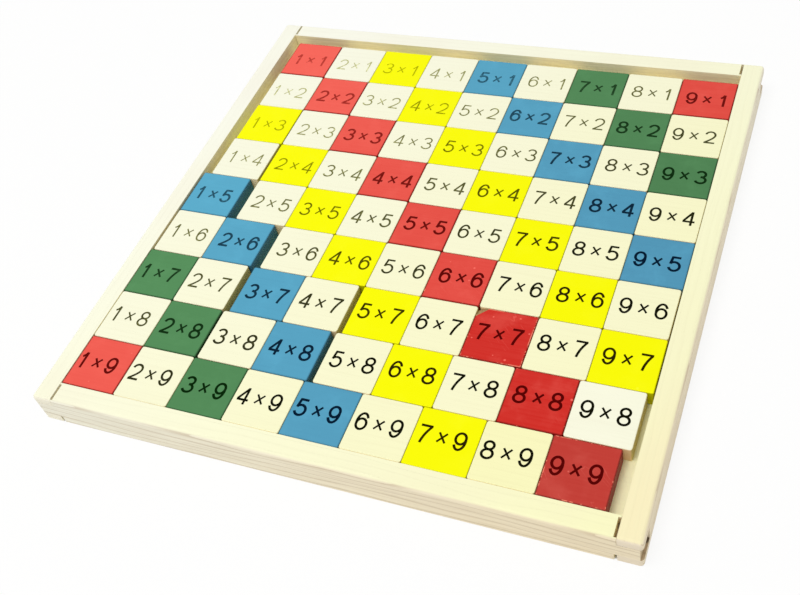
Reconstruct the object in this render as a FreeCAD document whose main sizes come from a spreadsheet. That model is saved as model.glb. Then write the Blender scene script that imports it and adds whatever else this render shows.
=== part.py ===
import FreeCAD, Part
import os
import Sketcher

# Multiplication board: 81 loose wooden tiles, nine rows of nine, in a shallow wooden tray.
# X runs along a row of tiles, Y from the front rail to the back rail, Z up from the table.
# The origin is on the table, under the middle of the tray. Lengths are in millimetres.

SIZES = {
    "tile_size": 19.9,
    "tile_gap": 0.1,
    "tile_thickness": 5.9,
    "painted_corner_ease": 0.4,
    "plain_corner_ease": 0.8,
    "tile_edge_ease": 0.3,
    "tray_play": 4.6,
    "rail_width": 7.2,
    "rail_height": 12.0,
    "rail_edge_radius": 1.2,
    "lip_height": 3.0,
    "groove_depth": 2.0,
    "panel_thickness": 3.0,
    "panel_clearance": 0.2,
    "fit_gap": 0.1,
    "tenon_thickness": 5.8,
    "tenon_setback": 0.9,
    "shoulder_gap": 0.9,
    "slot_width": 0.8,
    "slot_skin": 0.6,
}

TILES_ACROSS = 9

# Where the tiles lie in the tray's play, row by row from the back: the first and last column of
# each run, and its place between the left rail (0) and the right rail (1).
TILE_RUNS = {
    1: [(1, 9, 0.98)],
    2: [(1, 9, 0.97)],
    3: [(1, 1, 0.91), (2, 9, 0.97)],
    4: [(1, 1, 0.80), (2, 9, 0.97)],
    5: [(1, 1, 0.19), (2, 9, 0.97)],
    6: [(1, 2, 0.17), (3, 9, 0.91)],
    7: [(1, 2, 0.02), (3, 4, 0.52), (5, 9, 0.90)],
    8: [(1, 2, 0.02), (3, 4, 0.15), (5, 9, 0.55)],
    9: [(1, 9, 0.02)],
}

# All rows lie close to the front rail (0), so the play shows along the back rail (1).
ROW_PLACE = 0.02

# The paint goes by how far the two numbers on a tile are apart. Odd ones are bare wood.
PAINT = {0: "red", 2: "yellow", 4: "blue", 6: "green", 8: "red"}

# Lengths that follow from the sizes
PITCH = "(sizes.tile_size + sizes.tile_gap)"
OPENING = f"({TILES_ACROSS} * {PITCH} + sizes.tray_play)"
INNER = f"({OPENING} / 2)"
OUTER = f"({INNER} + sizes.rail_width)"
CLOSE_SHOULDER = f"({INNER} - sizes.fit_gap)"
OPEN_SHOULDER = f"({INNER} - sizes.shoulder_gap)"
TENON_END = f"({OUTER} - sizes.tenon_setback)"
GROOVE_BACK = f"({INNER} + sizes.groove_depth)"
PANEL_EDGE = f"({GROOVE_BACK} - sizes.panel_clearance)"
TRAY_FLOOR = "(sizes.lip_height + sizes.panel_thickness)"
GROOVE_TOP = f"({TRAY_FLOOR} + sizes.fit_gap)"
TENON_BOTTOM = "sizes.lip_height"
TENON_TOP = f"({TENON_BOTTOM} + sizes.tenon_thickness)"

# Shapes nearer than this are taken to touch.
TOUCH = 0.001

os.makedirs("parts", exist_ok=True)
doc = FreeCAD.newDocument("multiplication_board")


def make_sheet():
    sheet = doc.addObject("Spreadsheet::Sheet", "sizes")
    for row, (name, value) in enumerate(SIZES.items(), start=1):
        sheet.set(f"A{row}", name)
        sheet.set(f"B{row}", str(value))
        sheet.setAlias(f"B{row}", name)
    doc.recompute()


def new_body(label):
    body = doc.addObject("PartDesign::Body", label)
    body.Label = label
    return body


def new_sketch(body, role, name):
    plane = next(item for item in body.Origin.OriginFeatures if item.Role == role)
    sketch = body.newObject("Sketcher::SketchObject", name)
    sketch.AttachmentSupport = [(plane, "")]
    sketch.MapMode = "FlatFace"
    return sketch


def pin(sketch, kind, edge, expression):
    """Hold the start of an edge at its distance from the origin, across or up."""
    axis = {"DistanceX": -2, "DistanceY": -1}[kind]
    if expression == "0":
        sketch.addConstraint(Sketcher.Constraint("PointOnObject", edge, 1, axis))
        return
    index = sketch.addConstraint(Sketcher.Constraint(kind, -1, 1, edge, 1, 1.0))
    sketch.setExpression(f"Constraints[{index}]", expression)


def draw_outline(sketch, corners):
    """Draw a closed outline of level and upright edges through (across, up) corners.

    It is drawn roughly, and the constraints then pull each edge to its place.
    """
    first = len(sketch.Geometry)
    count = len(corners)
    rough = [FreeCAD.Vector(1 + k, 1 + k * k, 0) for k in range(count)]
    for k in range(count):
        sketch.addGeometry(Part.LineSegment(rough[k], rough[(k + 1) % count]), False)
    for k in range(count):
        edge = first + k
        following = (k + 1) % count
        upright = corners[k][0] == corners[following][0]
        sketch.addConstraint(Sketcher.Constraint("Coincident", edge, 2, first + following, 1))
        if upright:
            sketch.addConstraint(Sketcher.Constraint("Vertical", edge))
            pin(sketch, "DistanceX", edge, corners[k][0])
        else:
            sketch.addConstraint(Sketcher.Constraint("Horizontal", edge))
            pin(sketch, "DistanceY", edge, corners[k][1])


def draw_rectangle(sketch, left, right, low, high):
    draw_outline(sketch, [(left, low), (right, low), (right, high), (left, high)])


def pad(body, sketch, length, side="One side"):
    feature = body.newObject("PartDesign::Pad", "Pad")
    feature.Profile = sketch
    feature.SideType = side
    feature.setExpression("Length", length)
    return feature


def cut_through(body, sketch):
    feature = body.newObject("PartDesign::Pocket", "Pocket")
    feature.Profile = sketch
    feature.SideType = "Symmetric"
    feature.Type = "ThroughAll"
    return feature


def cut_upward(body, sketch, height):
    """Cut away what stands over the sketch, from a height up."""
    sketch.setExpression("AttachmentOffset.Base.z", height)
    feature = body.newObject("PartDesign::Pocket", "Pocket")
    feature.Profile = sketch
    feature.Reversed = True
    feature.Type = "ThroughAll"
    return feature


def round_edges(body, base, names, radius):
    feature = body.newObject("PartDesign::Fillet", "Rounding")
    feature.Base = (base, names)
    feature.setExpression("Radius", radius)
    return feature


def ease_edges(body, base, names, size):
    feature = body.newObject("PartDesign::Chamfer", "Easing")
    feature.Base = (base, names)
    feature.setExpression("Size", size)
    return feature


def edges_where(feature, wanted):
    doc.recompute()
    edges = enumerate(feature.Shape.Edges, start=1)
    return [f"Edge{k}" for k, edge in edges if wanted(edge.BoundBox)]


def side_rail_handled_edges(strip):
    """The right rail's outer top edge, the top edges of its ends and its outer upright corners."""
    doc.recompute()
    whole = strip.Shape.BoundBox

    def wanted(box):
        on_top = box.ZMin > whole.ZMax - TOUCH
        outside = box.XMin > whole.XMax - TOUCH
        at_end = box.YMax < whole.YMin + TOUCH or box.YMin > whole.YMax - TOUCH
        return on_top and (outside or at_end) or outside and at_end

    return edges_where(strip, wanted)


def end_rail_handled_edges(strip):
    """The front rail's outer top edge."""
    doc.recompute()
    whole = strip.Shape.BoundBox
    return edges_where(
        strip, lambda box: box.ZMin > whole.ZMax - TOUCH and box.YMax < whole.YMin + TOUCH
    )


def rail_section(sign):
    """The end view of a rail: a strip with a groove for the panel in its inner face."""
    inner = sign + INNER
    outer = sign + OUTER
    back = sign + GROOVE_BACK
    return [
        (inner, "0"),
        (outer, "0"),
        (outer, "sizes.rail_height"),
        (inner, "sizes.rail_height"),
        (inner, GROOVE_TOP),
        (back, GROOVE_TOP),
        (back, "sizes.lip_height"),
        (inner, "sizes.lip_height"),
    ]


def make_side_rail():
    """The right rail runs the full depth, with an open mortise sawn into each end."""
    body = new_body("right_rail")
    section = new_sketch(body, "XZ_Plane", "side_rail_section")
    draw_outline(section, rail_section(""))
    strip = pad(body, section, f"2 * {OUTER}", "Symmetric")
    round_edges(body, strip, side_rail_handled_edges(strip), "sizes.rail_edge_radius")

    mortises = new_sketch(body, "YZ_Plane", "side_rail_mortises")
    past_the_end = f"({OUTER} + sizes.rail_width)"
    top = f"({TENON_TOP} + sizes.fit_gap)"
    draw_rectangle(mortises, CLOSE_SHOULDER, past_the_end, TENON_BOTTOM, top)
    draw_rectangle(mortises, "-" + past_the_end, "-" + CLOSE_SHOULDER, TENON_BOTTOM, top)
    cut_through(body, mortises)
    return body


def make_end_rail():
    """The front rail stands between the side rails, with a tenon left at each end.

    Its shoulders are a little short: below the tenon the gap is open, and over it there is a
    narrow slot that stops inside the front face.
    """
    body = new_body("front_rail")
    section = new_sketch(body, "YZ_Plane", "end_rail_section")
    draw_outline(section, rail_section("-"))
    strip = pad(body, section, f"2 * {TENON_END}", "Symmetric")
    round_edges(body, strip, end_rail_handled_edges(strip), "sizes.rail_edge_radius")

    shoulders = new_sketch(body, "XZ_Plane", "end_rail_shoulders")
    past_the_end = f"({TENON_END} + sizes.rail_width)"
    below = "-sizes.rail_height"
    above = "2 * sizes.rail_height"
    for shoulder, low, high in (
        (OPEN_SHOULDER, below, TENON_BOTTOM),
        (CLOSE_SHOULDER, TENON_TOP, above),
    ):
        draw_rectangle(shoulders, shoulder, past_the_end, low, high)
        draw_rectangle(shoulders, "-" + past_the_end, "-" + shoulder, low, high)
    cut_through(body, shoulders)

    slots = new_sketch(body, "XY_Plane", "shoulder_slots")
    slot_side = f"({CLOSE_SHOULDER} - sizes.slot_width)"
    front = f"-({OUTER} - sizes.slot_skin)"
    back = f"-({INNER} + sizes.slot_skin)"
    draw_rectangle(slots, slot_side, past_the_end, front, back)
    draw_rectangle(slots, "-" + past_the_end, "-" + slot_side, front, back)
    cut_upward(body, slots, TENON_TOP)
    return body


def make_base_panel():
    """The thin panel that carries the tiles, held all round in the rails' grooves."""
    body = new_body("base_panel")
    outline = new_sketch(body, "XY_Plane", "panel_outline")
    draw_rectangle(outline, "-" + PANEL_EDGE, PANEL_EDGE, "-" + PANEL_EDGE, PANEL_EDGE)
    pad(body, outline, "sizes.panel_thickness")
    body.setExpression("Placement.Base.z", "sizes.lip_height")
    return body


def make_tile_pattern(label, corner_ease):
    """One square tile about its own middle, with its corners and rims eased flat."""
    body = new_body(label)
    half = "(sizes.tile_size / 2)"
    outline = new_sketch(body, "XY_Plane", label + "_outline")
    draw_rectangle(outline, "-" + half, half, "-" + half, half)
    block = pad(body, outline, "sizes.tile_thickness")

    corners = edges_where(block, lambda box: box.ZLength > TOUCH)
    eased = ease_edges(body, block, corners, corner_ease)
    rims = edges_where(eased, lambda box: box.ZLength < TOUCH)
    ease_edges(body, eased, rims, "sizes.tile_edge_ease")
    return body


def make_clone(original, label):
    body = new_body(label)
    clone = doc.addObject("PartDesign::FeatureBase", "Clone")
    body.Group = [clone]
    clone.BaseFeature = original
    body.Tip = clone
    return body


def make_opposite_rail(rail, label):
    """The same rail again, turned half round the middle of the tray."""
    body = make_clone(rail, label)
    body.Placement.Rotation = FreeCAD.Rotation(FreeCAD.Vector(0, 0, 1), 180)
    return body


def run_place(column, row):
    return next(place for first, last, place in TILE_RUNS[row] if first <= column <= last)


def make_tile(patterns, column, row):
    colour = PAINT.get(abs(column - row))
    pattern = patterns["painted"] if colour else patterns["plain"]
    tile = make_clone(pattern, f"{colour or 'plain'}_tile_{column}x{row}")
    steps_right = column - 0.5
    steps_back = TILES_ACROSS - row + 0.5
    x = f"-{INNER} + {run_place(column, row)} * sizes.tray_play + {steps_right} * {PITCH}"
    y = f"-{INNER} + {ROW_PLACE} * sizes.tray_play + {steps_back} * {PITCH}"
    tile.setExpression("Placement.Base.x", x)
    tile.setExpression("Placement.Base.y", y)
    tile.setExpression("Placement.Base.z", TRAY_FLOOR)
    return tile


def make_tile_rows():
    """Each painted tile is a piece of its own; a row's bare tiles are one group of solids."""
    patterns = {
        "painted": make_tile_pattern("painted_tile_pattern", "sizes.painted_corner_ease"),
        "plain": make_tile_pattern("plain_tile_pattern", "sizes.plain_corner_ease"),
    }
    pieces = []
    for row in TILE_RUNS:
        plain = []
        for column in range(1, TILES_ACROSS + 1):
            tile = make_tile(patterns, column, row)
            (pieces if abs(column - row) in PAINT else plain).append(tile)
        group = doc.addObject("Part::Compound", f"plain_tiles_row_{row}")
        group.Label = f"plain_tiles_row_{row}"
        group.Links = plain
        pieces.append(group)
    return pieces


def check(pieces):
    for item in doc.Objects:
        if "Invalid" in item.State or "Error" in item.State:
            raise RuntimeError(f"{item.Label}: {item.State}")
    for piece in pieces:
        if piece.Shape.isNull() or not piece.Shape.isValid() or not piece.Shape.Solids:
            raise RuntimeError(f"{piece.Label} has no valid solid")


def main():
    make_sheet()
    right_rail = make_side_rail()
    front_rail = make_end_rail()
    pieces = [
        right_rail,
        make_opposite_rail(right_rail, "left_rail"),
        front_rail,
        make_opposite_rail(front_rail, "back_rail"),
        make_base_panel(),
    ]
    pieces += make_tile_rows()
    doc.recompute()
    check(pieces)
    for piece in pieces:
        piece.Shape.exportStep(f"parts/{piece.Label}.step")
    print(f"{len(pieces)} pieces, {sum(len(piece.Shape.Solids) for piece in pieces)} solids")


main()
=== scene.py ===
"""A wooden tray of printed multiplication tiles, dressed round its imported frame.

It is laid out as an add-on and run as a script. Lengths are in metres, and every piece stands
where its CAD node stands. X runs along a row of tiles, Y towards the back rail, Z up.
"""

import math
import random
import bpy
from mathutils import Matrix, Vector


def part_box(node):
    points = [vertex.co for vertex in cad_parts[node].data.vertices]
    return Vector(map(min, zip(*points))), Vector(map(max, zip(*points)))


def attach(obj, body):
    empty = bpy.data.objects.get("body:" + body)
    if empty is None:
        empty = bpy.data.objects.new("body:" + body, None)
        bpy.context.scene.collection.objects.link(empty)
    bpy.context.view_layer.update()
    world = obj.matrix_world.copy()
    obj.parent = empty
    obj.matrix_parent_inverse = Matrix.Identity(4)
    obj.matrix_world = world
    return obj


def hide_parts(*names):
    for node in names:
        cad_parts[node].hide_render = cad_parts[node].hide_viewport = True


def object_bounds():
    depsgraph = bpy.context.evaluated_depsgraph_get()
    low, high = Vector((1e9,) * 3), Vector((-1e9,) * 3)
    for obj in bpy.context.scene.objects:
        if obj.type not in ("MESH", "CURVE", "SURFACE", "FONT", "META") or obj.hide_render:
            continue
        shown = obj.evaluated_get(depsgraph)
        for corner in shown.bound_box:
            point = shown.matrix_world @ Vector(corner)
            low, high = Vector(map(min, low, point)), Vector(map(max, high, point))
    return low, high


bl_info = {
    "name": "Multiplication Tile Board",
    "version": (1, 0, 0),
    "blender": (4, 5, 0),
    "location": "3D View > Sidebar > Tile Board",
    "description": "Builds a wooden tray of printed and painted multiplication tiles",
    "category": "Add Mesh",
}

import bmesh
import bpy
from mathutils import Color, Matrix, Vector

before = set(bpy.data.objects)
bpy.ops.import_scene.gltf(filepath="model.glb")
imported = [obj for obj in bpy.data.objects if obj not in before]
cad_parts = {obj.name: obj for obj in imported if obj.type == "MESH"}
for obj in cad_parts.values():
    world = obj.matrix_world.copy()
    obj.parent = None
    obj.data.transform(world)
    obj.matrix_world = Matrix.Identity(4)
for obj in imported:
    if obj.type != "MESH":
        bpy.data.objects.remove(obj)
CAD_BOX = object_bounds()

MM = 0.001
TINY = 1e-6

# The paint of a tile goes by the first word of its node's name.
PAINTS = ("red", "yellow", "blue", "green")
ROWS = range(1, 10)

TILE_LOW, TILE_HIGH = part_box("red_tile_1x1")
TILE_SIZE = TILE_HIGH.x - TILE_LOW.x
TILE_TOP = TILE_HIGH.z
FLOOR_OF_TRAY = TILE_LOW.z


def painted_nodes():
    """The names of the painted tiles' nodes, such as red_tile_5x5."""
    return sorted(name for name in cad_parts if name.split("_")[0] in PAINTS)


def column_and_row(name):
    """The two numbers at the end of a painted tile's name."""
    column, row = name.split("_")[-1].split("x")
    return int(column), int(row)


def bare_columns(row):
    """The columns of a row's bare tiles: those whose two numbers are an odd step apart."""
    return [column for column in ROWS if (column - row) % 2]


def length_property(name, description, millimetres, least=0.0):
    """A length, given in millimetres."""
    return bpy.props.FloatProperty(
        name=name,
        description=description,
        default=millimetres * MM,
        min=least * MM,
        subtype="DISTANCE",
        unit="LENGTH",
    )


def angle_property(name, description, degrees):
    """An angle, given in degrees."""
    return bpy.props.FloatProperty(
        name=name, description=description, default=math.radians(degrees), subtype="ANGLE", unit="ROTATION"
    )


def number_property(name, description, default, least=0.0):
    """A plain number."""
    return bpy.props.FloatProperty(name=name, description=description, default=default, min=least)


def vector_property(name, description, default, **kind):
    """Two or three numbers that belong together."""
    return bpy.props.FloatVectorProperty(
        name=name, description=description, default=default, size=len(default), **kind
    )


def place_property(name, description, default):
    """Lengths along the axes, in metres."""
    return vector_property(name, description, default, subtype="XYZ", unit="LENGTH")


def swatch(name, description, default):
    """A colour as it looks on the screen."""
    return vector_property(name, description, default, min=0.0, max=1.0, subtype="COLOR_GAMMA")


def settings_of(make, **rows):
    """Settings of one kind, labelled by their own names, from descriptions and starting values."""
    return {name: make(name.replace("_", " ").title(), *row) for name, row in rows.items()}


class TILEBOARD_PG_tiles(bpy.types.PropertyGroup):
    """The soft edges of the tiles"""

    __annotations__ = settings_of(
        length_property,
        bare_corner_radius=("Rounding of a bare tile's upright corners", 0.8),
        painted_corner_radius=("Rounding of a painted tile's upright corners", 0.5),
        rim_radius=("Rounding of the edges of a tile's top and underside", 0.35),
        chip_length=("How far the broken corner of the seven times seven tile runs along its edges", 3.9),
    )


class TILEBOARD_PG_numbers(bpy.types.PropertyGroup):
    """The printed multiplication problems"""

    __annotations__ = settings_of(
        length_property,
        digit_height=("Height of a digit, over its strokes", 6.4),
        digit_width=("Width of the digit nought, over its strokes", 4.2),
        stroke=("Width of a stroke", 0.80),
        sign_stroke=("Width of a stroke of the times sign", 0.64),
        spacing=("From the middle of the times sign to the middle of each digit", 5.55),
        film=("Height of the ink over the tile's face", 0.02),
    )


class TILEBOARD_PG_colours(bpy.types.PropertyGroup):
    """The woods, paints and inks"""

    __annotations__ = settings_of(
        swatch,
        bare_wood=("Sanded wood of the palest bare tiles", (0.98, 0.98, 0.90)),
        # Painted shade: the bare tiles' faces towards the near right, yellower than at the back left.
        aged_bare_wood=("The same wood where it has yellowed", (0.98, 0.97, 0.75)),
        bare_side=("Sides of the palest bare tiles", (1.0, 0.94, 0.80)),
        # Painted shade: the bare tiles' sides towards the near right.
        aged_bare_side=("The same sides where they are aged", (0.96, 0.83, 0.62)),
        # End grain, with painted shade on the tiles' left and right sides.
        bare_end=("End grain on the left and right of the bare tiles", (0.81, 0.75, 0.46)),
        rail_wood=("Planed wood of the rails at its palest", (0.985, 0.985, 0.925)),
        # Painted shade: the rails' tops towards the near right, yellower than at the back left.
        aged_rail_wood=("Tops of the rails where yellowed", (0.985, 0.98, 0.78)),
        # Painted shade: the side rails' tops at their near ends, darker still.
        handled_wood=("Top of a side rail darkened by hands", (0.985, 0.92, 0.75)),
        # Painted shade: the rails' outer faces towards the near right.
        aged_rail_side=("Outer faces of the rails where aged", (0.975, 0.92, 0.795)),
        # Painted light: the rails' inner faces get a bright warm colour of their own, against the shade
        # they stand in.
        rail_inside=("Inner faces of the rails", (1.0, 0.97, 0.80)),
        rail_grain=("Dark lines in the rails' wood", (0.70, 0.60, 0.46)),
        end_grain=("Sawn ends of the side rails", (0.935, 0.88, 0.795)),
        shoulder=("Sawn shoulders inside the joints", (1.0, 0.95, 0.74)),
        # Painted shade: the tenons' ends in the joint at the near right corner.
        tenon_end=("Darkened sawn ends of the tenons", (0.80, 0.71, 0.57)),
        # Painted shadow: dark flecks in the joint at the near right corner.
        recess_dirt=("Dirt in the joint that hands reach most", (0.37, 0.32, 0.26)),
        panel_wood=("Thin plywood under the tiles", (1.0, 0.995, 0.83)),
        chip_wood=("Broken wood under the paint", (0.80, 0.66, 0.46)),
        handled_paint=("What hands leave on the paint", (0.55, 0.31, 0.27)),
        red=("Red paint", (0.97, 0.40, 0.35)),
        yellow=("Yellow paint", (0.99, 0.99, 0.0)),
        blue=("Blue paint", (0.36, 0.68, 0.80)),
        green=("Green paint", (0.34, 0.565, 0.36)),
        ink=("Ink on the bare wood", (0.05, 0.05, 0.01)),
        # Painted glare: the pale colour that ink on bare wood turns to towards the back left.
        rubbed_ink=("Bare wood stained by ink that has worn away", (0.96, 0.96, 0.74)),
        ink_on_red=("Ink on the red paint", (0.34, 0.0, 0.0)),
        ink_on_yellow=("Ink on the yellow paint", (0.16, 0.12, 0.0)),
        ink_on_blue=("Ink on the blue paint", (0.0, 0.09, 0.18)),
        ink_on_green=("Ink on the green paint", (0.0, 0.13, 0.0)),
        floor=("Table under the tray", (0.98, 0.98, 0.97)),
    )


class TILEBOARD_PG_studio(bpy.types.PropertyGroup):
    """The camera and the light"""

    __annotations__ = {
        **settings_of(
            angle_property,
            camera_azimuth=("Turn of the view from straight back towards the left", 30.66),
            camera_elevation=("How steeply the camera looks down", 48.12),
            camera_roll=("Tilt of the camera about its own view", -14.05),
            window_azimuth=("Turn of the window light from straight behind towards the left", 146.0),
            window_elevation=("Height of the window light over the horizon", 73.0),
        ),
        **settings_of(
            number_property,
            camera_lens=("Focal length in millimetres, for a 36 mm wide sensor", 47.86, 1.0),
            sky_strength=("Brightness of the soft light from all round", 0.60),
            window_radiance=("Brightness of the large window light, where a white wall is 1", 6.45),
        ),
        **settings_of(
            length_property,
            window_distance=("From the middle of the board to the window light", 1500.0, 100.0),
        ),
        **settings_of(
            place_property,
            camera_place=("Where the camera stands", (0.1312, -0.2259, 0.2707)),
            window_size=("Width and height of the window light", (0.7, 0.7)),
        ),
        **settings_of(
            vector_property,
            camera_shift=("Shift of the picture, in picture widths", (-0.0372, -0.0181)),
        ),
    }


# Selecting and finishing


def show(item):
    """Put a new object into the scene."""
    bpy.context.collection.objects.link(item)


def deselect_all():
    bpy.ops.object.select_all(action="DESELECT")


def select_only(piece):
    deselect_all()
    piece.select_set(True)
    bpy.context.view_layer.objects.active = piece


def select_edges(piece, wanted):
    """In edit mode, select the edges whose two ends pass a test."""
    select_parts(piece, "EDGE", lambda edge: wanted(*[end.co for end in edge.verts]))


def select_faces(piece, wanted):
    """In edit mode, select the faces that pass a test."""
    select_parts(piece, "FACE", wanted)


def select_parts(piece, kind, wanted):
    bpy.ops.mesh.select_mode(type=kind)
    bpy.ops.mesh.select_all(action="DESELECT")
    shape = bmesh.from_edit_mesh(piece.data)
    for part in shape.edges if kind == "EDGE" else shape.faces:
        part.select_set(wanted(part))
    bmesh.update_edit_mesh(piece.data)


def copy_of(pattern, name, place):
    """A copy with its own mesh, moved within the mesh."""
    piece = pattern.copy()
    piece.data = pattern.data.copy()
    piece.name = name
    piece.data.name = name
    piece.data.transform(place)
    show(piece)
    return piece


def join(pieces, name):
    deselect_all()
    for piece in pieces:
        piece.select_set(True)
    bpy.context.view_layer.objects.active = pieces[0]
    bpy.ops.object.join()
    pieces[0].name = name
    pieces[0].data.name = name
    return pieces[0]


def remove(piece):
    bpy.data.objects.remove(piece, do_unlink=True)


def give_material(piece, material):
    """Put one material in every slot of a piece."""
    if not piece.material_slots:
        piece.data.materials.append(material)
    for slot in piece.material_slots:
        slot.material = material


def linear(colour):
    """A screen colour as the light that the shader needs, with its alpha."""
    return [c / 12.92 if c <= 0.04045 else ((c + 0.055) / 1.055) ** 2.4 for c in colour] + [1.0]


# Shader building blocks


def put(tree, socket, value):
    """Feed a socket from another socket, or set it to a plain value or to a screen colour's light."""
    if isinstance(value, bpy.types.NodeSocket):
        tree.links.new(value, socket)
    else:
        socket.default_value = linear(value) if isinstance(value, Color) else value


def feed(tree, node, **values):
    """Feed a node's sockets by their names, in which _ stands for a space."""
    for label, value in values.items():
        put(tree, node.inputs[label.replace("_", " ")], value)


def calculate(tree, operation, first, second=0.0, third=0.0, clamp=False):
    node = tree.nodes.new("ShaderNodeMath")
    node.operation = operation
    node.use_clamp = clamp
    for socket, value in zip(node.inputs, (first, second, third)):
        put(tree, socket, value)
    return node.outputs[0]


def product(tree, first, second, clamp=False):
    return calculate(tree, "MULTIPLY", first, second, clamp=clamp)


def calculate_vector(tree, operation, first, second):
    node = tree.nodes.new("ShaderNodeVectorMath")
    node.operation = operation
    put(tree, node.inputs[0], first)
    put(tree, node.inputs[1], second)
    return node.outputs[0]


def ramp(tree, value, start, end, low=0.0, high=1.0):
    """Turn a run of values smoothly into another."""
    node = tree.nodes.new("ShaderNodeMapRange")
    node.interpolation_type = "SMOOTHSTEP"
    feed(tree, node, Value=value, From_Min=start, From_Max=end, To_Min=low, To_Max=high)
    return node.outputs["Result"]


def blend(tree, share, first, second, kind="MIX"):
    node = tree.nodes.new("ShaderNodeMix")
    node.data_type = "RGBA"
    node.blend_type = kind
    feed(tree, node, Factor=share)
    put(tree, node.inputs[6], first)
    put(tree, node.inputs[7], second)
    return node.outputs[2]


def noise(tree, vector, scale, detail=2.0, roughness=0.5):
    node = tree.nodes.new("ShaderNodeTexNoise")
    feed(tree, node, Vector=vector, Scale=scale, Detail=detail, Roughness=roughness)
    return node.outputs["Fac"]


def new_group(name, values, results):
    """An empty group that works out results from a vector and plain values, and its two end nodes."""
    group = bpy.data.node_groups.new(name, "ShaderNodeTree")
    group.interface.new_socket("Vector", in_out="INPUT", socket_type="NodeSocketVector")
    for labels, side in ((values, "INPUT"), (results, "OUTPUT")):
        for label in labels:
            group.interface.new_socket(label, in_out=side, socket_type="NodeSocketFloat")
    return group, group.nodes.new("NodeGroupInput"), group.nodes.new("NodeGroupOutput")


def use_group(tree, name, **values):
    """Work out a shared group's results for some values."""
    node = tree.nodes.new("ShaderNodeGroup")
    node.node_tree = groups()[name]
    feed(tree, node, **values)
    return node.outputs


def new_material(name, gloss):
    """A material with its Principled shader and the object coordinates."""
    material = bpy.data.materials.new(name)
    material.use_nodes = True
    tree = material.node_tree
    shader = tree.nodes["Principled BSDF"]
    shader.inputs["Specular IOR Level"].default_value = gloss
    place = tree.nodes.new("ShaderNodeTexCoord").outputs["Object"]
    return material, tree, shader, place


def parts_of(tree, vector):
    """The three parts of a vector, by the names X, Y and Z."""
    split = tree.nodes.new("ShaderNodeSeparateXYZ")
    tree.links.new(vector, split.inputs[0])
    return split.outputs


def face_direction(tree):
    """The three parts of the surface's normal."""
    return parts_of(tree, tree.nodes.new("ShaderNodeNewGeometry").outputs["Normal"])


def reach_from_middle(tree, parts):
    """How far a place is from the board's middle along X and along Y, and the larger of the two."""
    along_x, along_y = [calculate(tree, "ABSOLUTE", parts[axis]) for axis in ("X", "Y")]
    return along_x, along_y, calculate(tree, "MAXIMUM", along_x, along_y)


def turned(tree, vector, about_z):
    """The same coordinates with the grain's direction turned to X."""
    node = tree.nodes.new("ShaderNodeMapping")
    node.vector_type = "POINT"
    feed(tree, node, Vector=vector, Rotation=(0.0, 0.0, about_z))
    return node.outputs["Vector"]


def attribute(tree, name):
    node = tree.nodes.new("ShaderNodeAttribute")
    node.attribute_name = name
    return node.outputs["Fac"]


def bump(tree, height, distance):
    node = tree.nodes.new("ShaderNodeBump")
    feed(tree, node, Strength=1.0, Distance=distance, Height=height)
    return node.outputs["Normal"]


# How densely the fibres lie along the grain and across it, and how the rings wander, per metre
FIBRE_DENSITY = (45.0, 1300.0, 1300.0)
WANDER_DENSITY = (7.0, 70.0, 70.0)
# The middle of the tree, off a board's middle line and below the table, and its rings to the metre
PITH_OFFSET = 60.0 * MM
PITH_DEPTH = 24.0 * MM
RING_DENSITY = 620.0


def wood_grain_group():
    """Fine fibres and broad growth rings in wood whose grain runs along X."""
    group, start, end = new_group("wood grain", (), ("Fibre", "Rings"))
    vector = start.outputs["Vector"]
    long_fibres = calculate_vector(group, "MULTIPLY", vector, FIBRE_DENSITY)
    feed(group, end, Fibre=noise(group, long_fibres, 1.0, 4.0, 0.6))

    drift = calculate_vector(group, "MULTIPLY", vector, WANDER_DENSITY)
    wander = noise(group, drift, 1.0, 3.0, 0.55)
    parts = parts_of(group, vector)
    across = calculate(group, "ADD", calculate(group, "ABSOLUTE", parts["Y"]), -PITH_OFFSET)
    upward = calculate(group, "ADD", parts["Z"], PITH_DEPTH)
    square = product(group, across, across)
    reach = calculate(group, "SQRT", calculate(group, "MULTIPLY_ADD", upward, upward, square))
    turns = product(group, reach, RING_DENSITY)
    phase = calculate(group, "MULTIPLY_ADD", wander, 4.0, turns)
    wave = calculate(group, "FRACT", phase)
    feed(group, end, Rings=ramp(group, wave, 0.65, 1.0))
    return group


# How strong the painted light falloff is in the middle of the board, from 0 to 1, and what each metre adds
FALLOFF_IN_THE_MIDDLE = 0.45
FALLOFF_TO_THE_RIGHT = 3.5
FALLOFF_TO_THE_FRONT = 2.5


def yellowing_group():
    """Painted light falloff: the wood is painted palest and whitest at the back left corner, where this is
    least, and yellowest at the near right one, where it is most.
    """
    group, start, end = new_group("yellowing", (), ("Age",))
    parts = parts_of(group, start.outputs["Vector"])
    across = calculate(group, "MULTIPLY_ADD", parts["X"], FALLOFF_TO_THE_RIGHT, FALLOFF_IN_THE_MIDDLE)
    falloff = calculate(group, "MULTIPLY_ADD", parts["Y"], -FALLOFF_TO_THE_FRONT, across, clamp=True)
    feed(group, end, Age=falloff)
    return group


def tile_edge_group():
    """How near a point of a tile is to its border: 0 in the middle and 1 at the edge."""
    group, start, end = new_group("tile edge", (), ("Edge",))
    parts = parts_of(group, start.outputs["Vector"])
    sides = []
    for name in ("X", "Y"):
        centred = calculate(group, "MULTIPLY_ADD", parts[name], 2.0, -1.0)
        sides.append(calculate(group, "ABSOLUTE", centred))
    feed(group, end, Edge=calculate(group, "MAXIMUM", *sides))
    return group


# How densely specks lie per metre, how densely scratches lie along and across, and their slant
SPECK_DENSITY = 230.0
SCRATCH_DENSITY = (60.0, 420.0, 420.0)
SCRATCH_SLANT = math.radians(40.0)


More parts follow.
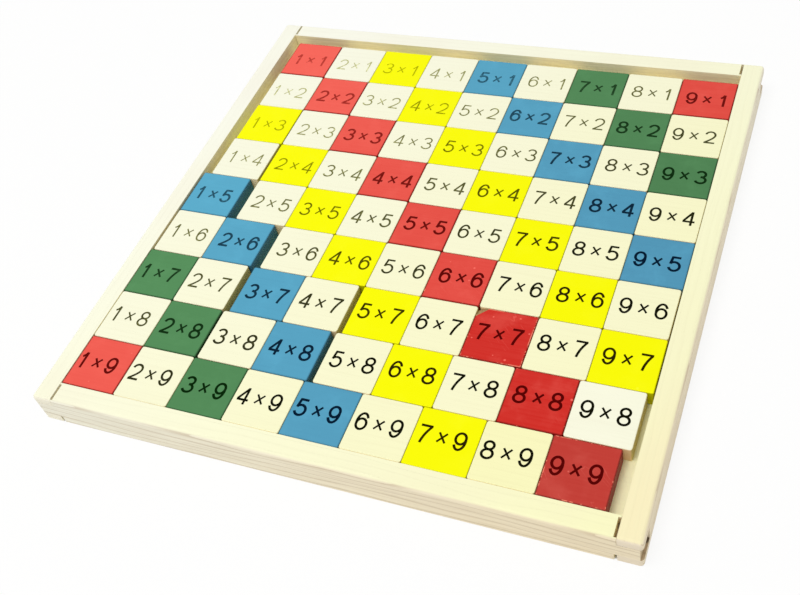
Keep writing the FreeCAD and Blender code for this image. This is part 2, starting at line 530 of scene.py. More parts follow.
def scuff_group():
    """Where paint has worn off: along the rims, and in small specks and scratches on a worn face."""
    group, start, end = new_group("scuffs", ("Edge", "Wear"), ("Rim", "Specks"))
    vector, wear = start.outputs["Vector"], start.outputs["Wear"]
    ragged = noise(group, vector, 900.0, 4.0, 0.65)
    patchy = noise(group, vector, 120.0, 2.0)
    inner = ramp(group, start.outputs["Edge"], 0.945, 0.965)
    outer = ramp(group, start.outputs["Edge"], 0.975, 0.99, 1.0, 0.0)
    level = calculate(group, "MULTIPLY_ADD", wear, -0.26, 0.84)
    mixed = calculate(group, "MULTIPLY_ADD", ragged, 0.6, product(group, patchy, 0.6))
    torn = ramp(group, mixed, level, calculate(group, "ADD", level, 0.05))
    line = product(group, inner, outer)
    feed(group, end, Rim=product(group, line, torn))

    cells = group.nodes.new("ShaderNodeTexVoronoi")
    cells.voronoi_dimensions = "2D"
    feed(group, cells, Vector=vector, Scale=SPECK_DENSITY)
    pick = group.nodes.new("ShaderNodeSeparateColor")
    group.links.new(cells.outputs["Color"], pick.inputs[0])
    radius = calculate(group, "MULTIPLY_ADD", pick.outputs[1], 0.05, 0.02)
    spot = ramp(group, cells.outputs["Distance"], radius, calculate(group, "ADD", radius, 0.05), 0.75, 0.0)
    share = calculate(group, "MULTIPLY_ADD", wear, 0.22, -0.03)
    specks = product(group, spot, calculate(group, "LESS_THAN", pick.outputs[0], share))

    slant = turned(group, vector, SCRATCH_SLANT)
    field = noise(group, calculate_vector(group, "MULTIPLY", slant, SCRATCH_DENSITY), 1.0, 1.0)
    off_line = calculate(group, "ABSOLUTE", calculate(group, "SUBTRACT", field, 0.5))
    scratch = ramp(group, off_line, 0.004, 0.012, 0.35, 0.0)
    open_part = ramp(group, noise(group, vector, 160.0, 2.0), 0.54, 0.62)
    worn = ramp(group, wear, 0.4, 0.8)
    seen = product(group, scratch, product(group, open_part, worn))
    feed(group, end, Specks=calculate(group, "MAXIMUM", specks, seen))
    return group


def groups():
    """The shared shader groups, built once."""
    if "wood grain" not in bpy.data.node_groups:
        wood_grain_group()
        yellowing_group()
        tile_edge_group()
        scuff_group()
    return bpy.data.node_groups


def grain_at(tree, vector):
    """The fibres and the growth rings at a place."""
    grain = use_group(tree, "wood grain", Vector=vector)
    return grain["Fibre"], grain["Rings"]


# Materials


# How far from the board's middle the rails' inner faces lie, and past what a sawn face is a tenon's end
INNER_FACE = -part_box("left_rail")[1].x
TENON_END = 95.0 * MM
# Upward faces below this are inside the joints, and take the joint colour: end grain, with painted shade
# near the front right corner.
JOINT_TOP = 9.0 * MM


def rail_material(name, colours, along_y):
    """Planed softwood: pale on top, with long darker lines on the outer faces, and sawn ends."""
    material, tree, shader, place = new_material(name, gloss=0.16)
    fibre, rings = grain_at(tree, turned(tree, place, math.radians(-90.0) if along_y else 0.0))
    # Painted light falloff: the wood is painted whiter towards the back left and yellower towards the near
    # right.
    falloff = use_group(tree, "yellowing", Vector=place)["Age"]
    normal = face_direction(tree)
    upward = ramp(tree, normal["Z"], 0.5, 0.95)
    top = blend(tree, falloff, colours.rail_wood, colours.aged_rail_wood)
    if along_y:
        # Painted shade: the side rails' tops darken further at their near ends.
        top = blend(tree, ramp(tree, falloff, 0.85, 1.1, 0.0, 0.9), top, colours.handled_wood)
    # Painted shade on the outer faces too, towards the near right.
    worn = ramp(tree, falloff, 0.15, 1.0)
    side = blend(tree, worn, colours.rail_wood, colours.aged_rail_side)
    parts = parts_of(tree, place)
    reach_along_x, _, reach = reach_from_middle(tree, parts)
    # Painted light: the inner faces take a bright colour of their own, against their shade.
    inside = ramp(tree, reach, INNER_FACE + 0.1 * MM, INNER_FACE + 0.7 * MM, 1.0, 0.0)
    side = blend(tree, inside, side, colours.rail_inside)
    colour = blend(tree, upward, side, top)

    outward = ramp(tree, inside, 0.0, 1.0, 1.0, 0.3)
    line_share = product(tree, ramp(tree, upward, 0.0, 1.0, 0.42, 0.02), outward)
    lines = product(tree, rings, line_share)
    colour = blend(tree, lines, colour, colours.rail_grain)
    fibre_share = ramp(tree, upward, 0.0, 1.0, 0.22, 0.03)
    fibres = ramp(tree, fibre, 0.35, 0.75, 0.0, fibre_share)
    colour = blend(tree, fibres, colour, colours.rail_grain)
    blotch = ramp(tree, noise(tree, place, 28.0, 3.0), 0.40, 0.7, 0.0, 0.12)
    colour = blend(tree, blotch, colour, colours.end_grain)

    # Painted shade in the joints: pale end grain elsewhere, a darker colour with dark flecks of painted
    # shadow at the near right corner.
    near_corner_shade = ramp(tree, falloff, 0.6, 0.95)
    recess = blend(tree, near_corner_shade, colours.end_grain, colours.tenon_end)
    spots = ramp(tree, noise(tree, place, 300.0, 1.0), 0.46, 0.66, 0.0, 0.85)
    spots = product(tree, spots, near_corner_shade)
    recess = blend(tree, spots, recess, colours.recess_dirt)
    low = ramp(tree, parts["Z"], JOINT_TOP, JOINT_TOP + MM, 1.0, 0.0)
    colour = blend(tree, product(tree, upward, low), colour, recess)
    sawn = ramp(tree, calculate(tree, "ABSOLUTE", normal["Y" if along_y else "X"]), 0.6, 0.9)
    if along_y:
        # Painted light falloff: the side rails' end faces are painted paler at the back and take the end
        # grain's colour towards the front.
        cut = blend(tree, falloff, colours.rail_wood, colours.end_grain)
    else:
        # The tenons' ends take the joint colour, with its painted shade at the near right corner.
        outermost = ramp(tree, reach_along_x, TENON_END, TENON_END + MM)
        cut = blend(tree, outermost, colours.shoulder, recess)
    pores = ramp(tree, noise(tree, place, 1900.0, 3.0, 0.7), 0.35, 0.75, 0.0, 0.3)
    cut = blend(tree, pores, cut, colours.shoulder)
    colour = blend(tree, sawn, colour, cut)
    rough = ramp(tree, fibre, 0.3, 0.8, 0.48, 0.66)
    relief = calculate(tree, "MULTIPLY_ADD", rings, -0.4, fibre)
    feed(tree, shader, Base_Color=colour, Roughness=rough, Normal=bump(tree, relief, 0.06 * MM))
    return material


def panel_material(colours):
    """Thin plywood with a faint rotary-cut figure."""
    material, tree, shader, place = new_material("plywood", gloss=0.12)
    fibre, _ = grain_at(tree, place)
    share = ramp(tree, fibre, 0.3, 0.8, 0.0, 0.06)
    colour = blend(tree, share, colours.panel_wood, colours.rail_grain)
    relief = bump(tree, fibre, 0.05 * MM)
    feed(tree, shader, Base_Color=colour, Roughness=0.6, Normal=relief)
    return material


def tile_coordinates(tree, place):
    """Object coordinates that jump from tile to tile, so that no grain runs on into the next one."""
    tone = attribute(tree, "tile_tone")
    jump = calculate_vector(tree, "MULTIPLY", (0.31, 0.83, 0.47), tone)
    return calculate_vector(tree, "ADD", place, jump), tone


def bare_tile_material(colours):
    """Sanded bare wood: pale face, tan sides, a faint grain and a tone of its own for each tile."""
    material, tree, shader, place = new_material("bare tile wood", gloss=0.14)
    vector, tone = tile_coordinates(tree, place)
    fibre, rings = grain_at(tree, vector)
    falloff = use_group(tree, "yellowing", Vector=place)["Age"]
    # Painted light falloff, scaled by each tile's own tone: yellower towards the near right.
    falloff_and_tone = product(tree, falloff, tone, clamp=True)
    face = blend(tree, falloff_and_tone, colours.bare_wood, colours.aged_bare_wood)
    normal = face_direction(tree)
    side = blend(tree, falloff, colours.bare_side, colours.aged_bare_side)
    # The left and right sides are end grain, and their colour is darkened further as painted shade.
    sawn = ramp(tree, calculate(tree, "ABSOLUTE", normal["X"]), 0.5, 0.9)
    side = blend(tree, sawn, side, colours.bare_end)
    colour = blend(tree, ramp(tree, normal["Z"], 0.25, 0.85), side, face)
    figure = product(tree, rings, 0.025)
    colour = blend(tree, figure, colour, colours.rail_grain)
    fibres = ramp(tree, fibre, 0.4, 0.8, 0.0, 0.05)
    colour = blend(tree, fibres, colour, colours.rail_grain)
    rough = ramp(tree, fibre, 0.3, 0.8, 0.45, 0.6)
    relief = bump(tree, fibre, 0.03 * MM)
    feed(tree, shader, Base_Color=colour, Roughness=rough, Normal=relief)
    return material


# What is left of each paint's light in its painted shade, towards the board's near right corner and down
# the sides
PAINT_IN_SHADE = {
    "red": (0.66, 0.17, 0.16),
    "yellow": (0.97, 0.97, 0.97),
    "blue": (0.72, 0.64, 0.70),
    "green": (0.72, 0.70, 0.70),
}
# How far a band of painted shade darkens a tile's face along its edges, and what is left of the paint's
# light in the painted shade down the sides
RIM_SHADE = {"red": 0.85, "yellow": 0.0, "blue": 0.5, "green": 0.6}
SIDE_SHADE = {"red": 0.42, "yellow": 0.6, "blue": 0.66, "green": 0.38}


def paint_material(paint_name, colours):
    """Thin satin paint on wood: the grain shows through a little, and worn rims show the wood."""
    material, tree, shader, place = new_material(f"{paint_name} paint", gloss=0.05)
    vector, tone = tile_coordinates(tree, place)
    fibre, _ = grain_at(tree, vector)
    tile_map = tree.nodes.new("ShaderNodeUVMap")
    tile_map.uv_map = "tile"
    edge = use_group(tree, "tile edge", Vector=tile_map.outputs["UV"])["Edge"]
    wear = attribute(tree, "tile_wear")
    scuffs = use_group(tree, "scuffs", Vector=vector, Edge=edge, Wear=wear)
    paint = linear(getattr(colours, paint_name))
    shaded_paint = [share * part for share, part in zip(PAINT_IN_SHADE[paint_name], paint)] + [1.0]
    thin = [min(1.0, part * 1.25 + 0.02) for part in paint[:3]] + [1.0]
    streaks = ramp(tree, fibre, 0.3, 0.8, 0.0, 0.10)
    # Painted light and shade: by the tone, the paint is paler at the back left and darker towards the near
    # right.
    dark = calculate(tree, "MULTIPLY_ADD", tone, -0.9, 0.85)
    colour = blend(tree, calculate(tree, "ADD", streaks, dark, clamp=True), paint, shaded_paint)
    cloud = ramp(tree, noise(tree, vector, 110.0, 4.0, 0.6), 0.45, 0.75, 0.0, 0.18)
    colour = blend(tree, cloud, colour, thin)
    # The sides' colour is the paint in painted shade, darker still.
    side = [SIDE_SHADE[paint_name] * part for part in shaded_paint[:3]] + [1.0]
    # Painted shade: a thin dark band along the face's edges, where the rounded rims turn down.
    rim_shade = ramp(tree, edge, 0.945, 0.985, 0.0, RIM_SHADE[paint_name])
    colour = blend(tree, rim_shade, colour, side)
    colour = blend(tree, scuffs["Specks"], colour, thin)
    # Painted shade down the tile's sides.
    side_shade = ramp(tree, face_direction(tree)["Z"], 0.15, 0.85, 0.85, 0.0)
    colour = blend(tree, side_shade, colour, side)
    colour = blend(tree, attribute(tree, "tile_grime"), colour, colours.handled_paint)
    torn = [0.7 * a + 0.3 * b for a, b in zip(thin, linear(colours.chip_wood))]
    colour = blend(tree, scuffs["Rim"], colour, torn)
    dull = calculate(tree, "MULTIPLY_ADD", scuffs["Rim"], 0.25, 0.42)
    rough = calculate(tree, "MULTIPLY_ADD", streaks, 0.2, dull)
    relief = calculate(tree, "MULTIPLY_ADD", scuffs["Rim"], -1.5, fibre)
    feed(tree, shader, Base_Color=colour, Roughness=rough, Normal=bump(tree, relief, 0.025 * MM))
    return material


def chip_material(colours):
    """Rough torn wood in the broken corner."""
    material, tree, shader, place = new_material("broken wood", gloss=0.05)
    rough = noise(tree, place, 1500.0, 4.0, 0.7)
    pale = linear(colours.chip_wood)
    dark = [0.55 * part for part in pale[:3]] + [1.0]
    colour = blend(tree, ramp(tree, rough, 0.35, 0.7), dark, pale)
    feed(tree, shader, Base_Color=colour, Roughness=0.8, Normal=bump(tree, rough, 0.25 * MM))
    return material


# What is left of the light through ink half paled by painted glare, where that isn't the same in every
# colour
INK_TINTS = {"plain": (1.0, 1.0, 0.5), "red": (1.0, 0.35, 0.3)}


def ink_material(name, colour_of_ink, colour_of_face, tint):
    """Printed ink, a little thin in places, and paled by painted glare on the tiles towards the back left.
    """
    material, tree, shader, place = new_material(name, gloss=0.02)
    uneven = ramp(tree, noise(tree, place, 700.0, 3.0), 0.45, 0.75)
    glare = attribute(tree, "print_fade")
    patchy = ramp(tree, uneven, 0.0, 1.0, 0.72, 1.45)
    # Painted glare pales the ink towards its face's colour, unevenly.
    thin = product(tree, glare, patchy, clamp=True)
    face = [0.9 * part for part in linear(colour_of_face)[:3]] + [1.0]
    colour = blend(tree, thin, colour_of_ink, face)
    colour = blend(tree, calculate(tree, "SUBTRACT", 1.0, thin), colour, [*tint, 1.0], "MULTIPLY")
    feed(tree, shader, Base_Color=colour, Roughness=ramp(tree, uneven, 0.0, 1.0, 0.55, 0.7))
    return material


# How much of the table's white is its own glow, so that it looks white and still shows a shadow
TABLE_GLOW = 0.86
# The table lies a little under the board, so that no two faces share a plane.
TABLE_SIZE = 6.0
TABLE_TOP = -0.1 * MM


def seen_directly(tree):
    """1 where the camera sees a surface itself, in a gloss or through glass, and 0 for other rays."""
    rays = tree.nodes.new("ShaderNodeLightPath").outputs
    seen = calculate(tree, "MAXIMUM", rays["Is Camera Ray"], rays["Is Glossy Ray"])
    return calculate(tree, "MAXIMUM", seen, rays["Is Transmission Ray"])


def floor_material(colours):
    """A pale table that looks white to the camera, keeps a soft shadow and is dark under the board."""
    material, tree, shader, place = new_material("pale table", gloss=0.1)
    mottle = ramp(tree, noise(tree, place, 6.0, 3.0), 0.3, 0.7, 0.0, 0.03)
    colour = blend(tree, mottle, colours.floor, (0.85, 0.85, 0.84, 1.0))
    feed(tree, shader, Base_Color=colour, Roughness=0.9)
    foot = CAD_BOX[1][0]
    reach = reach_from_middle(tree, parts_of(tree, place))[-1]
    beside = ramp(tree, reach, foot - 0.8 * MM, foot, 0.0, TABLE_GLOW)
    glow = tree.nodes.new("ShaderNodeEmission")
    glow.inputs["Strength"].default_value = 1.0
    mix = tree.nodes.new("ShaderNodeMixShader")
    feed(tree, mix, Fac=product(tree, seen_directly(tree), beside))
    tree.links.new(shader.outputs[0], mix.inputs[1])
    tree.links.new(glow.outputs[0], mix.inputs[2])
    feed(tree, tree.nodes["Material Output"], Surface=mix.outputs[0])
    return material


# Tiles

CORNER_STEPS = 4
RIM_STEPS = 3
SOFT_ANGLE = math.radians(35.0)


def model_tile(name, corner_radius, rim_radius):
    """One tile about the origin: a block with rounded corners, then rounded rims."""
    deselect_all()
    bpy.ops.mesh.primitive_cube_add(size=1.0, location=(0.0, 0.0, 0.0))
    tile = bpy.context.active_object
    tile.name = name
    thickness = TILE_TOP - FLOOR_OF_TRAY
    half = thickness / 2
    bpy.ops.object.mode_set(mode="EDIT")
    bpy.ops.mesh.select_all(action="SELECT")
    bpy.ops.transform.resize(value=(TILE_SIZE, TILE_SIZE, thickness))
    select_edges(tile, lambda a, b: abs(a.z - b.z) > half)
    bpy.ops.mesh.bevel(offset=corner_radius, segments=CORNER_STEPS, affect="EDGES")
    select_edges(tile, lambda a, b: abs(a.z + b.z) > thickness - TINY)
    bpy.ops.mesh.bevel(offset=rim_radius, segments=RIM_STEPS, affect="EDGES")
    bpy.ops.object.mode_set(mode="OBJECT")
    map_tile(tile)
    return tile


def finish_edges(piece):
    """Shade the rims round and keep the broad faces flat."""
    select_only(piece)
    bpy.ops.object.shade_smooth_by_angle(angle=SOFT_ANGLE)
    bpy.ops.object.modifier_add(type="WEIGHTED_NORMAL")
    piece.modifiers[-1].keep_sharp = True
    bpy.ops.object.modifier_apply(modifier=piece.modifiers[-1].name)


def map_tile(tile):
    """A map that runs from 0 to 1 across the tile both ways, also down its sides."""
    layer = tile.data.uv_layers.get("UVMap") or tile.data.uv_layers.new()
    layer.name = "tile"
    for loop in tile.data.loops:
        place = tile.data.vertices[loop.vertex_index].co
        layer.data[loop.index].uv = (0.5 + place.x / TILE_SIZE, 0.5 + place.y / TILE_SIZE)


def set_values(piece, **values):
    """Give a piece values of its own, such as its tone and wear, for its material to read."""
    for name, value in values.items():
        layer = piece.data.attributes.new(name, "FLOAT", "POINT")
        layer.data.foreach_set("value", [value] * len(piece.data.vertices))


# How much of a painted tile's tone is chance, and how much of the rest, its painted light, goes by its
# column
CHANCE_SHARE = 0.06
COLUMN_SHARE = 0.76
# Tiles whose tone stands out from their neighbours': column, row. On a painted tile the tone is its painted
# light.
TONES = {(7, 7): -0.05, (8, 8): -0.07, (9, 1): 0.4, (9, 8): 0.15, (8, 9): 1.25}


def paint_tone(column, row):
    """A painted tile's tone, mostly from 0 to 1: painted light, paler to the left and at the back, with a
    little chance.
    """
    chance = random.Random(100 * column + row).random()
    along = (COLUMN_SHARE * (column - 1) + (1.0 - COLUMN_SHARE) * (row - 1)) / 8.0
    tone = CHANCE_SHARE * chance + (1.0 - CHANCE_SHARE) * (1.0 - along)
    return TONES.get((column, row), tone)


def bare_tone(column, row):
    """How yellow a bare tile is by its own tone: how much of the painted light falloff where it lies it
    takes.
    """
    chance = random.Random(100 * column + row).uniform(0.8, 1.1)
    return TONES.get((column, row), chance)


# How worn a tile is, where it isn't as good as new: column, row
TILE_WEAR = {(7, 7): 0.9, (9, 9): 0.75, (8, 8): 0.55, (6, 6): 0.6, (8, 4): 0.5, (1, 9): 0.35, (9, 7): 0.3}
USUAL_WEAR = 0.12
# How much of what hands leave lies on a tile's paint: column, row
TILE_GRIME = {(9, 9): 0.3}


def tile_middles(node, count):
    """The middles of the tiles in a row's node, read from its corners along X."""
    across = sorted(vertex.co.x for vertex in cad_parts[node].data.vertices)
    starts = [across[0]]
    for before, after in zip(across, across[1:]):
        if after - before > TILE_SIZE:
            starts.append(after)
    if len(starts) != count:
        raise RuntimeError(f"{node} has {len(starts)} tiles and not {count}")
    low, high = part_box(node)
    return [Vector((start + TILE_SIZE / 2, (low.y + high.y) / 2, (low.z + high.z) / 2)) for start in starts]


# The way the broken face looks: mostly up, and out over the tile's back left corner
BREAK_SLOPE = Vector((-1.0, 0.95, 2.3)).normalized()


def break_corner(tile, corner, length, material):
    """Cut the back left corner off a tile's top, and show torn wood there."""
    select_only(tile)
    tile.data.materials.append(material)
    bpy.ops.object.mode_set(mode="EDIT")
    bpy.ops.mesh.select_all(action="SELECT")
    bpy.ops.mesh.bisect(
        plane_co=corner + Vector((length, 0.0, 0.0)),
        plane_no=BREAK_SLOPE,
        use_fill=True,
        clear_outer=True,
    )
    select_faces(tile, lambda face: face.normal.dot(BREAK_SLOPE) > 0.99)
    tile.active_material_index = 1
    bpy.ops.object.material_slot_assign()
    bpy.ops.object.mode_set(mode="OBJECT")


# Numbers

# Half a stroke, in digit heights: a stem's square ends stand out by this much.
END = 0.055


# An arc has a point about every so many degrees, and a bent stroke has this many steps.
ARC_STEP = 12.0
BOW_STEPS = 8


def arc(centre, radii, start, end):
    """Points round an ellipse, from one angle to another in degrees."""
    count = max(3, round(abs(end - start) / ARC_STEP))
    angles = [math.radians(start + (end - start) * k / count) for k in range(count + 1)]
    return [(centre[0] + radii[0] * math.cos(a), centre[1] + radii[1] * math.sin(a)) for a in angles]


def bow(start, pull, end):
    """Points along a bent stroke that leaves its start towards the pull and ends at its end."""
    points = []
    for k in range(BOW_STEPS + 1):
        t = k / BOW_STEPS
        weights = ((1 - t) ** 2, 2 * t * (1 - t), t**2)
        points.append(tuple(sum(w * p[i] for w, p in zip(weights, (start, pull, end))) for i in (0, 1)))
    return points


def half_turn(strokes):
    """The same strokes turned half round, as a six is a nine."""
    return [[(1.0 - x, 1.0 - y) for x, y in stroke] for stroke in strokes]


NINE = [
    arc((0.49, 0.67), (0.46, 0.33), 20.0, 380.0),
    arc((0.49, 0.50), (0.48, 0.50), 22.0, -152.0),
]

# Strokes in a box that is 1 wide and 1 high between the middles of the outer strokes
DIGITS = {
    "1": [bow((0.22, 0.74), (0.50, 0.82), (0.60, 1.0 + END)), [(0.62, 1.0 + END), (0.62, -END)]],
    "2": [
        arc((0.50, 0.71), (0.47, 0.29), 172.0, -22.0),
        bow((0.935, 0.60), (0.82, 0.40), (0.06, 0.02)),
        [(-0.04, 0.0), (1.04, 0.0)],
    ],
    "3": [
        arc((0.47, 0.755), (0.42, 0.245), 162.0, -92.0),
        arc((0.48, 0.265), (0.50, 0.265), 95.0, -162.0),
    ],
    "4": [[(0.74, 1.0 + END), (0.74, -END)], [(0.72, 1.0), (0.0, 0.27)], [(-0.06, 0.25), (1.08, 0.25)]],
    "5": [
        [(0.94, 1.0), (0.17, 1.0)],
        [(0.215, 1.0 + END), (0.09, 0.49)],
        arc((0.48, 0.325), (0.50, 0.325), 146.0, -162.0),
    ],
    "6": half_turn(NINE),
    "7": [[(-0.04, 1.0), (1.04, 1.0)], bow((0.97, 1.0), (0.44, 0.52), (0.34, -END))],
    "8": [arc((0.50, 0.765), (0.40, 0.235), 90.0, 450.0), arc((0.50, 0.265), (0.48, 0.265), 90.0, 450.0)],
    "9": NINE,
    "times": [[(0.13, 0.20), (0.87, 0.78)], [(0.13, 0.78), (0.87, 0.20)]],
}


# Crossing strokes lie this far above each other, so that no two share a plane.
LAYER_STEP = 0.004 * MM


def model_glyph(name, numbers, boldness):
    """One flat glyph about the origin: each stroke is a curve with a flat width."""
    wide = numbers.digit_width - numbers.stroke
    high = numbers.digit_height - numbers.stroke
    line = bpy.data.curves.new(name, "CURVE")
    line.dimensions = "3D"
    line.twist_mode = "Z_UP"
    line.extrude = boldness * (numbers.sign_stroke if name == "times" else numbers.stroke) / 2
    for layer, stroke in enumerate(DIGITS[name]):
        closed = math.dist(stroke[0], stroke[-1]) < TINY
        points = stroke[:-1] if closed else stroke
        spline = line.splines.new("POLY")
        spline.points.add(len(points) - 1)
        spline.use_cyclic_u = closed
        for point, (x, y) in zip(spline.points, points):
            point.co = ((x - 0.5) * wide, (y - 0.5) * high, layer * LAYER_STEP, 1.0)
            point.tilt = math.radians(90.0)
    glyph = bpy.data.objects.new(name, line)
    show(glyph)
    select_only(glyph)
    bpy.ops.object.convert(target="MESH")
    glyph = bpy.context.active_object
    bpy.ops.object.mode_set(mode="EDIT")
    select_faces(glyph, lambda face: face.normal.z < 0.0)
    bpy.ops.mesh.flip_normals()
    bpy.ops.object.mode_set(mode="OBJECT")
    return glyph


# How far painted glare pales the first print, how fast that falls off, and how much of it doesn't show
GLARE_AT_FIRST = 1.15
GLARE_PER_COLUMN = -0.18
GLARE_PER_ROW = -0.225
GLARE_UNSEEN = 0.12
GLARE_ON_DARK_PAINT = 0.75


def print_fade(finish, column, row):
    """How far painted glare pales a print: most at the board's back left corner, and less on dark paint."""
    left = math.exp(GLARE_PER_COLUMN * (column - 1) + GLARE_PER_ROW * (row - 1))
    paled = max(0.0, GLARE_AT_FIRST * left - GLARE_UNSEEN)
    return paled if finish in ("plain", "yellow") else GLARE_ON_DARK_PAINT * paled


# How wide the ink runs on each finish, against the usual stroke
BOLDNESS = {"plain": 1.0, "yellow": 1.0, "red": 1.13, "blue": 1.05, "green": 1.05}


def print_boldness(finish, glare):
    """How bold a print is, to a tenth: where painted glare pales the prints on pale tiles, their strokes
    are drawn thinner too.
    """
    glare_thinning = 0.85 * min(glare, 0.4) if finish in ("plain", "yellow") else 0.0
    return round(BOLDNESS[finish] - glare_thinning, 1)


# How far each row's prints sit to the right of the middles of their tiles, with row 1 first
ROW_SHIFTS = [step * MM for step in (0.7, 0.0, 0.6, 0.5, 0.1, 0.4, -0.2, -0.2, -1.0)]
# What the prints of the first column add to that
FIRST_COLUMN_SHIFT = -0.9 * MM
# How far the prints sway forward and back along a row, and how much further back each row's sit
ROW_SWAY = 0.45 * MM
SWAY_PER_COLUMN = math.radians(40.0)
BACK_PER_ROW = 0.08 * MM
# How far off that a single print may sit, and how far it may be turned, in degrees
PRINT_PLAY = 0.25 * MM
PRINT_TURNS = (-0.5, 0.9)


def print_shift(column, row, chance):
    """How far a print sits to the right of its tile's middle and behind it, as printed by hand."""
    across = ROW_SHIFTS[row - 1] + (FIRST_COLUMN_SHIFT if column == 1 else 0.0)
    back = ROW_SWAY * math.sin(SWAY_PER_COLUMN * (column - 5)) + BACK_PER_ROW * (row - 5)
    return [middle + chance.uniform(-PRINT_PLAY, PRINT_PLAY) for middle in (across, back)]


def print_place(numbers, middle, column, row):
    """Where a tile's print goes, with a slight turn of its own."""
    chance = random.Random(31 * column + 7 * row)
    turn = math.radians(chance.uniform(*PRINT_TURNS))
    across, back = print_shift(column, row, chance)
    place = Vector((middle.x + across, middle.y + back, TILE_TOP + numbers.film))
    return Matrix.Translation(place) @ Matrix.Rotation(turn, 4, "Z")


def all_tiles():
    """Every tile as (finish, column, row, middle)."""
    tiles = []
    for node in painted_nodes():
        low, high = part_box(node)
        tiles.append((node.split("_")[0], *column_and_row(node), (low + high) / 2))
    for row in ROWS:
        columns = bare_columns(row)
        middles = tile_middles(f"plain_tiles_row_{row}", len(columns))
        tiles += [("plain", column, row, middle) for column, middle in zip(columns, middles)]
    return tiles


class TILEBOARD_OT_tray(bpy.types.Operator):
    """Finish the rails and the base panel in planed softwood and plywood"""

    bl_idname = "tileboard.tray"
    bl_label = "Tray Woods"

    def execute(self, context):
        colours = context.scene.tileboard_colours
        side = rail_material("side rail wood", colours, along_y=True)
        end = rail_material("end rail wood", colours, along_y=False)
        for name in ("left_rail", "right_rail"):
            give_material(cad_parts[name], side)
        for name in ("front_rail", "back_rail"):
            give_material(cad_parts[name], end)
        give_material(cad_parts["base_panel"], panel_material(colours))
        return {"FINISHED"}


class TILEBOARD_OT_bare_tiles(bpy.types.Operator):
    """Build the bare wooden tiles, row by row"""

    bl_idname = "tileboard.bare_tiles"
    bl_label = "Bare Tiles"

    def execute(self, context):
        tiles = context.scene.tileboard_tiles
        material = bare_tile_material(context.scene.tileboard_colours)
        pattern = model_tile("bare tile pattern", tiles.bare_corner_radius, tiles.rim_radius)
        give_material(pattern, material)
        for row in ROWS:
            node = f"plain_tiles_row_{row}"
            columns = bare_columns(row)
            made = []
            for column, middle in zip(columns, tile_middles(node, len(columns))):
                tile = copy_of(pattern, f"bare tile {column}x{row}", Matrix.Translation(middle))
                set_values(tile, tile_tone=bare_tone(column, row))
                made.append(tile)
            piece = join(made, f"bare_tiles_row_{row}")
            finish_edges(piece)
            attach(piece, "root")
            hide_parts(node)
        remove(pattern)
        return {"FINISHED"}


class TILEBOARD_OT_painted_tiles(bpy.types.Operator):
    """Build the painted tiles, each with its own wear"""

    bl_idname = "tileboard.painted_tiles"
    bl_label = "Painted Tiles"

    def execute(self, context):
        tiles = context.scene.tileboard_tiles
        colours = context.scene.tileboard_colours
        materials = {paint: paint_material(paint, colours) for paint in PAINTS}
        broken = chip_material(colours)
        pattern = model_tile("painted tile pattern", tiles.painted_corner_radius, tiles.rim_radius)
        for node in painted_nodes():
            paint = node.split("_")[0]
            column, row = column_and_row(node)
            low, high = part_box(node)
            tile = copy_of(pattern, f"{paint}_{column}x{row}", Matrix.Translation((low + high) / 2))
            give_material(tile, materials[paint])
            if (column, row) == (7, 7):
                break_corner(tile, Vector((low.x, high.y, high.z)), tiles.chip_length, broken)
            wear = TILE_WEAR.get((column, row), USUAL_WEAR)
            grime = TILE_GRIME.get((column, row), 0.0)
            set_values(tile, tile_tone=paint_tone(column, row), tile_wear=wear, tile_grime=grime)
            finish_edges(tile)
            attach(tile, "root")
            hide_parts(node)
        remove(pattern)
        return {"FINISHED"}


class TILEBOARD_OT_numbers(bpy.types.Operator):
    """Print the multiplication problems on the tiles"""

    bl_idname = "tileboard.numbers"
    bl_label = "Numbers"

    def execute(self, context):
        numbers = context.scene.tileboard_numbers
        colours = context.scene.tileboard_colours
        glyphs = {}
        plain = (colours.ink, colours.rubbed_ink, INK_TINTS["plain"])
        inks = {"plain": ink_material("ink on bare wood", *plain)}
        for paint in PAINTS:
            ink, face = getattr(colours, f"ink_on_{paint}"), getattr(colours, paint)
            inks[paint] = ink_material(f"ink on {paint}", ink, face, INK_TINTS.get(paint, (1.0, 1.0, 1.0)))
        printed = {finish: [] for finish in inks}
        for finish, column, row, middle in all_tiles():
            place = print_place(numbers, middle, column, row)
            glare = print_fade(finish, column, row)
            boldness = print_boldness(finish, glare)
            for step, name in ((-1, str(column)), (0, "times"), (1, str(row))):
                if (name, boldness) not in glyphs:
                    glyphs[name, boldness] = model_glyph(name, numbers, boldness)
                offset = Matrix.Translation((step * numbers.spacing, 0.0, 0.0))
                glyph = copy_of(glyphs[name, boldness], f"print {column}x{row}", place @ offset)
                set_values(glyph, print_fade=glare)
                printed[finish].append(glyph)
        for finish, pieces in printed.items():
            piece = join(pieces, f"numbers_on_{finish}_tiles")
            give_material(piece, inks[finish])
            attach(piece, "root")
        for glyph in glyphs.values():
            remove(glyph)
        return {"FINISHED"}


class TILEBOARD_OT_studio(bpy.types.Operator):
    """Set up the pale table, the soft light and the camera"""

    bl_idname = "tileboard.studio"
    bl_label = "Studio"

    def execute(self, context):
        studio = context.scene.tileboard_studio
        make_floor(context.scene.tileboard_colours)
        make_window(studio)
        make_sky(context.scene, studio)
        make_camera(context.scene, studio)
        context.scene.view_settings.view_transform = "Standard"
        return {"FINISHED"}


def make_floor(colours):
    deselect_all()
    bpy.ops.mesh.primitive_plane_add(size=TABLE_SIZE, location=(0.0, 0.0, 0.0))
    floor = bpy.context.active_object
    floor.name = "table"
    floor.data.transform(Matrix.Translation((0.0, 0.0, TABLE_TOP)))
    give_material(floor, floor_material(colours))


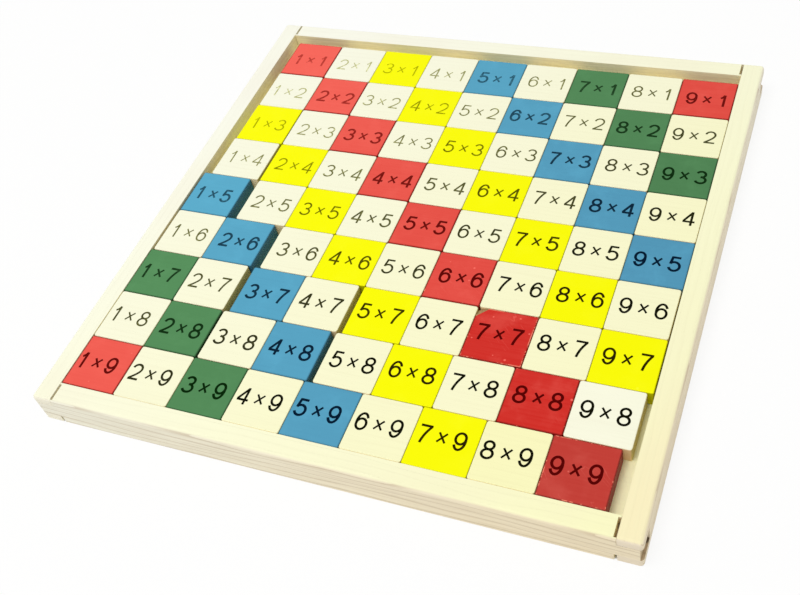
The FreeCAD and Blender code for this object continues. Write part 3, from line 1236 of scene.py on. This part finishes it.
def make_window(studio):
    azimuth, elevation = studio.window_azimuth, studio.window_elevation
    direction = Vector(
        (
            -math.sin(azimuth) * math.cos(elevation),
            math.cos(azimuth) * math.cos(elevation),
            math.sin(elevation),
        )
    )
    light = bpy.data.lights.new("window", "AREA")
    light.shape = "RECTANGLE"
    light.size, light.size_y = studio.window_size
    light.energy = studio.window_radiance * math.pi * light.size * light.size_y
    window = bpy.data.objects.new("window", light)
    window.location = direction * studio.window_distance
    window.rotation_euler = (-direction).to_track_quat("-Z", "Y").to_euler()
    show(window)


def make_sky(scene, studio):
    """Soft light from all round, which looks white where the camera sees it."""
    sky = bpy.data.worlds.new("soft sky")
    sky.use_nodes = True
    tree = sky.node_tree
    background = tree.nodes["Background"]
    strength = ramp(tree, seen_directly(tree), 0.0, 1.0, studio.sky_strength, 1.0)
    feed(tree, background, Color=(1.0, 1.0, 1.0, 1.0), Strength=strength)
    scene.world = sky


def make_camera(scene, studio):
    lens = bpy.data.cameras.new("camera")
    lens.sensor_width = 36.0
    lens.lens = studio.camera_lens
    lens.shift_x, lens.shift_y = studio.camera_shift
    lens.clip_start, lens.clip_end = 0.01, 20.0
    camera = bpy.data.objects.new("camera", lens)
    camera.location = studio.camera_place
    turn = Matrix.Rotation(studio.camera_azimuth, 3, "Z")
    tip = Matrix.Rotation(math.radians(90.0) - studio.camera_elevation, 3, "X")
    roll = Matrix.Rotation(studio.camera_roll, 3, "Z")
    camera.rotation_euler = (turn @ tip @ roll).to_euler()
    show(camera)
    scene.camera = camera


class TILEBOARD_PT_panel(bpy.types.Panel):
    """Builds the tile board piece by piece"""

    bl_idname = "TILEBOARD_PT_panel"
    bl_label = "Multiplication Tile Board"
    bl_space_type = "VIEW_3D"
    bl_region_type = "UI"
    bl_category = "Tile Board"

    def draw(self, context):
        layout = self.layout
        for operator in OPERATORS:
            layout.operator(operator.bl_idname)
        for name in SETTINGS:
            settings = getattr(context.scene, name)
            box = layout.box()
            for item in settings.bl_rna.properties:
                if item.identifier not in {"rna_type", "name"}:
                    box.prop(settings, item.identifier)


SETTINGS = {
    "tileboard_tiles": TILEBOARD_PG_tiles,
    "tileboard_numbers": TILEBOARD_PG_numbers,
    "tileboard_colours": TILEBOARD_PG_colours,
    "tileboard_studio": TILEBOARD_PG_studio,
}
OPERATORS = (
    TILEBOARD_OT_tray,
    TILEBOARD_OT_bare_tiles,
    TILEBOARD_OT_painted_tiles,
    TILEBOARD_OT_numbers,
    TILEBOARD_OT_studio,
)
CLASSES = (*SETTINGS.values(), *OPERATORS, TILEBOARD_PT_panel)


def register():
    for item in CLASSES:
        bpy.utils.register_class(item)
    for name, settings in SETTINGS.items():
        setattr(bpy.types.Scene, name, bpy.props.PointerProperty(type=settings))


def unregister():
    for name in SETTINGS:
        delattr(bpy.types.Scene, name)
    for item in reversed(CLASSES):
        bpy.utils.unregister_class(item)


def main():
    register()
    deselect_all()
    bpy.ops.tileboard.tray()
    bpy.ops.tileboard.bare_tiles()
    bpy.ops.tileboard.painted_tiles()
    bpy.ops.tileboard.numbers()
    bpy.ops.tileboard.studio()


if __name__ == "__main__":
    main()
